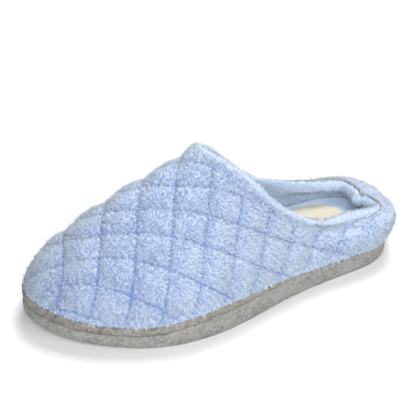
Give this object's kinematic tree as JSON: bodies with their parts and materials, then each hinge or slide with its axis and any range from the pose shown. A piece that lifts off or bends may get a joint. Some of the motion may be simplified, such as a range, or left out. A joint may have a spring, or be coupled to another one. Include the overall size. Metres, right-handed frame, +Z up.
{
  "type": "clog slipper",
  "caption": "Left backless house slipper: quilted plush upper with a low padded heel collar on a felt-covered sole with toe spring, padded insole and oval heel label.",
  "frame": {"origin": "on the floor, under the middle of the slipper's box", "axes": "+Y from toe to heel, +X to the outer side of the foot, +Z up"},
  "size_m": [0.102, 0.2538, 0.1007],
  "materials": {
    "felt_outsole": "speckled grey felt over foam",
    "felt_platform": "coarse browner grey felt over foam",
    "insole_cloth": "smooth light blue cloth",
    "label_cloth": "matt cream cloth",
    "plush": "short clumped light blue pile",
    "piping_tape": "grey-tan woven tape"
  },
  "bodies": {
    "root": {"outsole": "felt_outsole", "platform": "felt_platform", "insole": "insole_cloth", "label": "label_cloth", "upper": "plush", "collar_piping": "piping_tape"}
  },
  "joints": []
}
